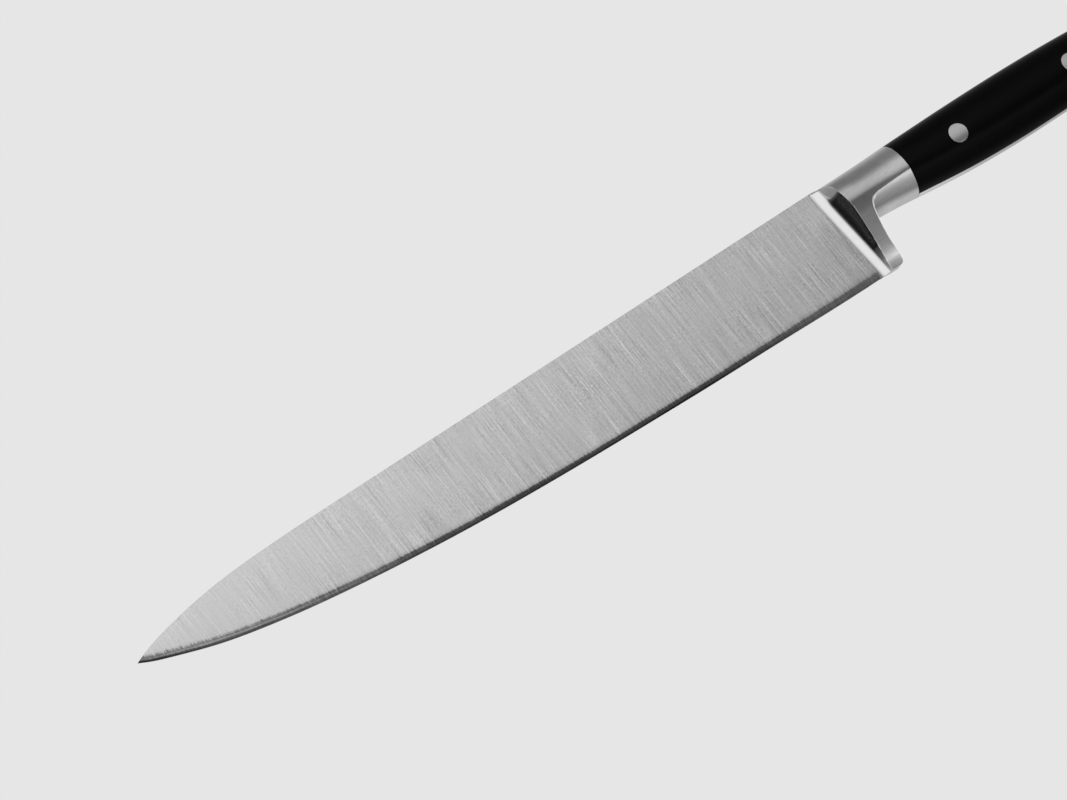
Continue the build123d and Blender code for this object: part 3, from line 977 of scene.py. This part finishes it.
# painted shade of the sharpened band against the ground face, along the blade: its inner part and its outer line,
# factors that darken the base colour in place of the darker reflection the bevel shows
BEVEL_SHADE_INNER = [(-220, 0.27), (-209, 0.29), (-200, 0.40), (-190, 0.46), (-180, 0.50), (-165, 0.54), (-150, 0.48), (-130, 0.41), (-110, 0.46),
              (-90, 0.54), (-70, 0.48), (-50, 0.54), (-40, 0.64), (-30, 0.68), (-20, 0.72)]
BEVEL_SHADE_OUTER = [(-220, 0.04), (-209, 0.07), (-200, 0.14), (-190, 0.22), (-180, 0.34), (-165, 0.40), (-150, 0.30), (-130, 0.24), (-110, 0.22),
              (-90, 0.16), (-70, 0.14), (-50, 0.34), (-40, 0.50), (-30, 0.58), (-20, 0.62)]


def number_ramp(k, value, stops):
    n = k.n.new("ShaderNodeValToRGB")
    k.put(n, 0, value)
    r = n.color_ramp
    while len(r.elements) > 1:
        r.elements.remove(r.elements[0])
    for i, (q, v) in enumerate(stops):
        e = r.elements[0] if i == 0 else r.elements.new(q)
        e.position = q
        e.color = (v, v, v, 1)
    return n.outputs[0]


def forged_steel():
    m, k, bsdf = new_material("forged_steel")
    _, x, y, z = k.place()
    bsdf.inputs["Metallic"].default_value = 1.0
    side = k.math("SIGN", k.math("SUBTRACT", z, float(SHIFT[2])))
    # where along the knife: 0 on the blade's ground face, 1 on the polished bolster
    foot = k.math("SUBTRACT", k.math("SUBTRACT", x, float(SHIFT[0]) + FOOT_X0),
                  k.math("MULTIPLY", k.math("SUBTRACT", y, float(SHIFT[1])), (FOOT_X1 - FOOT_X0) / HEEL_Y))
    polished = k.remap(foot, -0.06, 0.10, 0.0, 1.0, smooth=True)
    neck = k.remap(x, float(SHIFT[0]) - 18.2, float(SHIFT[0]) - 17.6, 0.0, 1.0, smooth=True)
    # ground strokes across the blade, in several widths, none of them quite straight
    def across(lean, wide, long, seed, detail, rough=0.5):
        """Noise drawn out across the blade: features about 1/wide thick and 1/long long."""
        u = k.math("SUBTRACT", x, k.math("MULTIPLY", y, lean))
        return k.noise(k.vec(k.math("MULTIPLY", u, wide), k.math("MULTIPLY", y, long), k.math("ADD", side, seed)), 1.0, detail, rough)
    fine = across(-0.042, 3.2, 0.095, 0.0, 1.0)
    mid = across(-0.034, 1.6, 0.040, 7.3, 2.0, 0.6)
    broad = across(-0.030, 0.33, 0.030, 17.9, 2.0)
    thin = across(-0.036, 2.1, 0.055, 43.7, 0.0)
    short = across(-0.045, 3.3, 1.5, 91.1, 1.0)
    patch = k.noise(k.vec(k.math("MULTIPLY", x, 0.09), k.math("MULTIPLY", y, 0.12), k.math("ADD", side, 31.0)), 1.0, 2.0, 0.5)
    force = k.math("MULTIPLY", k.remap(patch, 0.35, 0.65, 0.60, 1.35), k.remap(x, float(SHIFT[0]) - 210, float(SHIFT[0]) - 150, 0.42, 1.0))
    scratch = k.math("SUBTRACT", k.remap(thin, 0.70, 0.84, 0.0, 0.26, smooth=True), k.remap(thin, 0.16, 0.30, 0.30, 0.0, smooth=True))
    pair = k.math("ADD", k.math("MULTIPLY", k.math("SUBTRACT", fine, 0.5), 1.26), k.math("MULTIPLY", k.math("SUBTRACT", short, 0.5), 1.02))
    grain = k.math("ADD", pair,
                   k.math("ADD", k.math("MULTIPLY", k.math("SUBTRACT", mid, 0.5), 0.66),
                          k.math("MULTIPLY", k.math("SUBTRACT", broad, 0.5), 0.31)))
    grain = k.math("MULTIPLY", k.math("ADD", grain, scratch), force)
    # sharpened bevel with painted shade: its base colour darkened in place of its darker reflection, its upper border
    # frayed by the strokes
    above = k.n.new("ShaderNodeAttribute")
    above.attribute_name = "bevel_share"
    share = above.outputs["Fac"]
    hair = across(-0.035, 5.5, 0.45, 71.3, 1.0)
    ragged = k.math("ADD", share, k.math("ADD", k.math("MULTIPLY", k.math("SUBTRACT", mid, 0.5), 0.50), k.math("MULTIPLY", k.math("SUBTRACT", hair, 0.5), 0.80)))
    bevel = k.remap(ragged, 0.72, 1.24, 1.0, 0.0, smooth=True)
    # a strip just above the sharpened band is made darker in colour, less so towards the point
    darker_above_bevel = k.math("MULTIPLY", k.remap(ragged, 0.95, 1.75, 0.26, 0.0), k.remap(x, float(SHIFT[0]) - 195, float(SHIFT[0]) - 150, 0.15, 1.0, smooth=True))
    bevel = k.math("MULTIPLY", bevel, k.math("SUBTRACT", 1.0, polished))
    lip = k.remap(k.math("ADD", share, k.math("MULTIPLY", k.math("SUBTRACT", fine, 0.5), 0.12)), 0.22, 0.50, 1.0, 0.0, smooth=True)
    place = k.remap(x, float(SHIFT[0]) - 220, float(SHIFT[0]) - 20, 0.0, 1.0)
    inner = number_ramp(k, place, [((u + 220) / 200, v) for u, v in BEVEL_SHADE_INNER])
    outer_line_shade = number_ramp(k, place, [((u + 220) / 200, v) for u, v in BEVEL_SHADE_OUTER])
    # painted shade of the band: the outer line at the very edge darker than its inner part
    bevel_shade = k.mix(lip, inner, outer_line_shade)
    # a lighter stripe inside the painted shade towards the point; honing marks and the strokes then vary its depth
    stripe = k.math("MULTIPLY", k.remap(share, 0.34, 0.50, 0.0, 1.0, smooth=True), k.remap(share, 0.54, 0.74, 1.0, 0.0, smooth=True))
    stripe = k.math("MULTIPLY", stripe, k.remap(x, float(SHIFT[0]) - 172, float(SHIFT[0]) - 140, 0.42, 0.0, smooth=True))
    bevel_shade = k.math("MULTIPLY", bevel_shade, k.math("ADD", 0.92, stripe))
    honed = k.noise(k.vec(k.math("MULTIPLY", x, 0.13), k.math("MULTIPLY", share, 6.5), k.math("ADD", side, 61.0)), 1.0, 2.0, 0.6)
    bevel_shade = k.math("MULTIPLY", bevel_shade, k.math("ADD", 1.0, k.math("MULTIPLY", k.math("SUBTRACT", honed, 0.5), 1.5)))
    bevel_shade = k.math("MULTIPLY", bevel_shade, k.math("ADD", 1.0, k.math("MULTIPLY", k.math("SUBTRACT", fine, 0.5), 0.55)))
    # base tone of the ground face with the grain, darker in the strip above the sharpened band
    tone = k.math("MULTIPLY", k.math("ADD", 1.0, k.math("MULTIPLY", grain, GRAIN)), k.math("SUBTRACT", 0.65, k.math("MULTIPLY", darker_above_bevel, 0.65)))
    # polished zones: faint clouding only
    cloud = k.noise(k.vec(k.math("MULTIPLY", x, 0.35), k.math("MULTIPLY", y, 0.5), k.math("MULTIPLY", z, 0.5)), 1.0, 3.0, 0.55)
    rub = k.noise(k.vec(k.math("MULTIPLY", x, 0.55), k.math("MULTIPLY", y, 5.0), k.math("MULTIPLY", z, 5.0)), 1.0, 3.0, 0.6)
    worn = k.math("ADD", k.math("MULTIPLY", k.math("SUBTRACT", cloud, 0.5), 0.06), k.math("MULTIPLY", k.math("MULTIPLY", k.math("SUBTRACT", rub, 0.5), neck), 0.22))
    tone = k.mix(polished, tone, k.math("ADD", 0.65, worn))
    # the painted shade darkens the base colour on the sharpened band
    tone = k.math("MULTIPLY", tone, k.mix(bevel, 1.0, bevel_shade))
    k.put(bsdf, "Base Color", k.grey(tone))
    # finish: ground satin, coarser on the bevel, bright polish in the hollow, fine satin on guard and neck
    rough = k.mix(polished, k.math("ADD", 0.23, k.math("MULTIPLY", grain, 0.05)), k.mix(neck, 0.09, 0.15))
    hollow = k.math("MULTIPLY", k.remap(foot, 1.4, 2.4, 0.0, 1.0, smooth=True), k.math("SUBTRACT", 1.0, neck))
    rough = k.math("ADD", rough, k.math("MULTIPLY", hollow, 0.06))
    rough = k.math("ADD", rough, k.math("MULTIPLY", k.math("SUBTRACT", cloud, 0.5), 0.03))
    rough = k.mix(bevel, rough, k.remap(x, float(SHIFT[0]) - 75, float(SHIFT[0]) - 42, 0.16, 0.24))
    k.put(bsdf, "Roughness", rough)
    height = k.math("MULTIPLY", grain, k.math("SUBTRACT", 1.0, polished))
    height = k.math("ADD", height, k.math("MULTIPLY", k.math("MULTIPLY", k.math("SUBTRACT", rub, 0.5), neck), 0.45))
    k.put(bsdf, "Normal", k.bump(height, 1.6e-6))
    tan = k.n.new("ShaderNodeTangent")
    tan.direction_type = "UV_MAP"
    tan.uv_map = "along"
    bsdf.inputs["Anisotropic"].default_value = 0.35
    k.t.links.new(tan.outputs[0], bsdf.inputs["Tangent"])
    return m


def black_scale():
    m, k, bsdf = new_material("black_scale")
    _, x, y, z = k.place()
    bsdf.inputs["Specular IOR Level"].default_value = 0.06
    cloud = k.noise(k.vec(k.math("MULTIPLY", x, 0.25), k.math("MULTIPLY", y, 0.7), k.math("MULTIPLY", z, 0.7)), 1.0, 3.0, 0.6)
    rub = k.noise(k.vec(k.math("MULTIPLY", x, 0.7), k.math("MULTIPLY", y, 7.0), k.math("MULTIPLY", z, 7.0)), 1.0, 3.0, 0.6)
    k.put(bsdf, "Base Color", k.grey(k.math("ADD", 0.0010, k.math("MULTIPLY", cloud, 0.0010))))
    k.put(bsdf, "Roughness", k.math("ADD", 0.20, k.math("ADD", k.math("MULTIPLY", cloud, 0.06), k.math("MULTIPLY", rub, 0.05))))
    k.put(bsdf, "Normal", k.bump(rub, 1.2e-6))
    return m


def rivet_steel():
    m, k, bsdf = new_material("rivet_steel")
    _, x, y, z = k.place()
    bsdf.inputs["Metallic"].default_value = 1.0
    line = k.noise(k.vec(k.math("MULTIPLY", x, 0.5), k.math("MULTIPLY", y, 9.0), z), 1.0, 3.0, 0.6)
    k.put(bsdf, "Base Color", k.grey(k.math("ADD", 0.58, k.math("MULTIPLY", k.math("SUBTRACT", line, 0.5), 0.10))))
    k.put(bsdf, "Roughness", k.math("ADD", 0.17, k.math("MULTIPLY", line, 0.08)))
    k.put(bsdf, "Normal", k.bump(line, 1.5e-6))
    return m


# ------------------------------------------------------------------ pieces
steel, scale_mat, rivet_mat = forged_steel(), black_scale(), rivet_steel()


def settle(ob, mat, node):
    ob.data.materials.clear()
    ob.data.materials.append(mat)
    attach(ob, BODY)
    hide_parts(node)


settle(make_forging(), steel, "forged_blade")
settle(make_scale("scale_left", 1), scale_mat, "left_scale")
settle(make_scale("scale_right", -1), scale_mat, "right_scale")
for word, rx, ry in zip(("front", "middle", "rear"), RIVET_X, RIVET_Y):
    settle(make_rivet(f"rivet_{word}_socket", rx, ry, 1, True), rivet_mat, f"{word}_rivet_socket")
    settle(make_rivet(f"rivet_{word}_pin", rx, ry, -1, False), rivet_mat, f"{word}_rivet_pin")


# ------------------------------------------------------------------ stage
PALE = 0.7913


def glow(name, value):
    m = bpy.data.materials.new(name)
    m.use_nodes = True
    k = Nodes(m.node_tree)
    out = k.n.new("ShaderNodeOutputMaterial")
    e = k.n.new("ShaderNodeEmission")
    e.inputs["Color"].default_value = (value, value, value, 1)
    e.inputs["Strength"].default_value = 1.0
    k.t.links.new(e.outputs[0], out.inputs[0])
    return m


def dome(radius):
    """A pale floor at z = 0 with a wide round backdrop that closes over it."""
    verts, faces, rings, seg = [(0, 0, 0)], [], [], 64
    prof = [(radius * 0.5, 0.0), (radius, 0.0)] + [(radius * math.cos(a), radius * math.sin(a)) for a in np.radians(np.arange(6, 90, 6))]
    for r, z in prof:
        rings.append(len(verts))
        verts += [(r * math.cos(a), r * math.sin(a), z) for a in np.arange(seg) * 2 * math.pi / seg]
    verts.append((0, 0, radius))
    for j in range(seg):
        faces.append((0, rings[0] + j, rings[0] + (j + 1) % seg))
        faces.append((len(verts) - 1, rings[-1] + (j + 1) % seg, rings[-1] + j))
        for a, b in zip(rings, rings[1:]):
            faces.append((a + j, b + j, b + (j + 1) % seg, a + (j + 1) % seg))
    me = bpy.data.meshes.new("floor_backdrop")
    me.from_pydata(verts, [], faces)
    me.update()
    ob = bpy.data.objects.new("floor_backdrop", me)
    bpy.context.scene.collection.objects.link(ob)
    return ob


floor = dome(8.0)
floor.data.materials.append(glow("pale_floor", PALE))
floor.visible_glossy = False
floor.visible_diffuse = False
floor.visible_shadow = False

# Studio light: soft boxes and dark flags round the knife, laid out by direction. s is the share along the blade,
# turn is the angle round it, from straight up over the cutting edge's side.
ALONG = [(-1.0, 0.018), (-0.92, 0.008), (-0.80, 0.005), (-0.70, 0.009), (-0.63, 0.036), (-0.57, 0.15), (-0.52, 0.45), (-0.47, 0.74),
         (-0.40, 0.84), (-0.10, 0.86), (0.12, 0.85), (0.22, 0.87), (0.29, 0.90), (0.34, 0.79), (0.37, 0.665), (0.40, 0.54), (0.425, 0.445),
         (0.45, 0.370), (0.47, 0.340), (0.52, 0.32), (0.60, 0.37), (0.68, 0.60), (0.76, 0.82), (0.90, 0.85), (1.0, 0.80)]
ROUND = [(-180, 0.40), (-140, 0.38), (-120, 0.31), (-100, 0.20), (-81, 0.150), (-66, 0.145), (-54, 0.160), (-42, 0.255), (-31, 0.36),
         (-20, 0.365), (-11, 0.325), (-5, 0.27), (0, 0.18), (4, 0.09), (8, 0.070), (17, 0.068), (20, 0.12), (22.5, 0.37), (25, 0.55),
         (29, 0.52), (34, 0.36), (41, 0.26), (50, 0.205), (62, 0.165), (76, 0.13), (86, 0.205), (96, 0.27), (108, 0.32), (124, 0.32), (180, 0.38)]
MIRROR = 0.65
world = bpy.data.worlds.new("studio")
bpy.context.scene.world = world
world.use_nodes = True
k = Nodes(world.node_tree)
w_out, w_bg = k.n.new("ShaderNodeOutputWorld"), k.n.new("ShaderNodeBackground")
k.t.links.new(w_bg.outputs[0], w_out.inputs[0])
w_co, w_sep = k.n.new("ShaderNodeTexCoord"), k.n.new("ShaderNodeSeparateXYZ")
k.t.links.new(w_co.outputs["Generated"], w_sep.inputs[0])
dx, dy, dz = w_sep.outputs


def ramp(value, stops, low, high):
    n = k.n.new("ShaderNodeValToRGB")
    k.put(n, 0, k.remap(value, low, high, 0.0, 1.0))
    r = n.color_ramp
    r.interpolation = "LINEAR"
    while len(r.elements) > 1:
        r.elements.remove(r.elements[0])
    for i, (p, v) in enumerate(stops):
        q = (p - low) / (high - low)
        e = r.elements[0] if i == 0 else r.elements.new(q)
        e.position = q
        e.color = (v, v, v, 1)
    return n.outputs[0]


turn = k.math("MULTIPLY", k.math("ARCTAN2", k.math("MULTIPLY", dy, -1.0), dz), 180 / math.pi)
# towards the point one wide soft box takes the place of the strips, and the far side behind the spine stays grey
left = k.remap(dx, 0.18, 0.33, 1.0, 0.0, smooth=True)
wide = k.math("MULTIPLY", left, k.math("MULTIPLY", k.remap(turn, -34, -14, 0.0, 1.0, smooth=True), k.remap(turn, 16, 34, 1.0, 0.0, smooth=True)))
around = k.mix(wide, k.math("MULTIPLY", ramp(turn, ROUND, -180, 180), k.mix(left, 1.0, 0.5)), 0.325)
# the dark strip behind the point is narrow: to both sides of it the room is lit again
aside = k.math("MAXIMUM", k.remap(dy, 0.38, 0.48, 0.0, 1.05, smooth=True), k.remap(dy, -0.42, -0.26, 0.80, 0.0, smooth=True))
aside = k.math("MULTIPLY", aside, k.remap(dx, -0.30, -0.10, 1.0, 0.0))
light = k.math("MULTIPLY", k.math("MAXIMUM", ramp(dx, ALONG, -1, 1), aside), around)
up_side = k.math("MAXIMUM", dy, 0.0)
behind = k.math("MULTIPLY", k.math("MULTIPLY", up_side, up_side), 0.15)
behind = k.math("MULTIPLY", behind, k.remap(dx, -0.15, 0.10, 1.0, 0.0))
light = k.math("MAXIMUM", light, behind)
light = k.math("MINIMUM", k.math("MULTIPLY", light, 1 / 0.36), 0.88)
k.put(w_bg, 0, k.grey(light))
w_bg.inputs[1].default_value = 1 / MIRROR

# ------------------------------------------------------------------ camera
cam_data = bpy.data.cameras.new("camera")
cam_data.lens, cam_data.sensor_width, cam_data.sensor_fit = 180.0, 36.0, "AUTO"
cam_data.clip_start, cam_data.clip_end = 0.01, 50
cam = bpy.data.objects.new("camera", cam_data)
bpy.context.scene.collection.objects.link(cam)
right, up, back = (Vector((0.76833836, -0.59790797, 0.22839052)), Vector((0.49965605, 0.78333011, 0.36978071)),
                   Vector((-0.4, -0.17, 0.9006109)))
cam.matrix_world = Matrix.Translation((-0.52876457, -0.19552684, 1.0831347)) @ Matrix((right, up, back)).transposed().to_4x4()
bpy.context.scene.camera = cam
bpy.context.scene.view_settings.view_transform = "Standard"
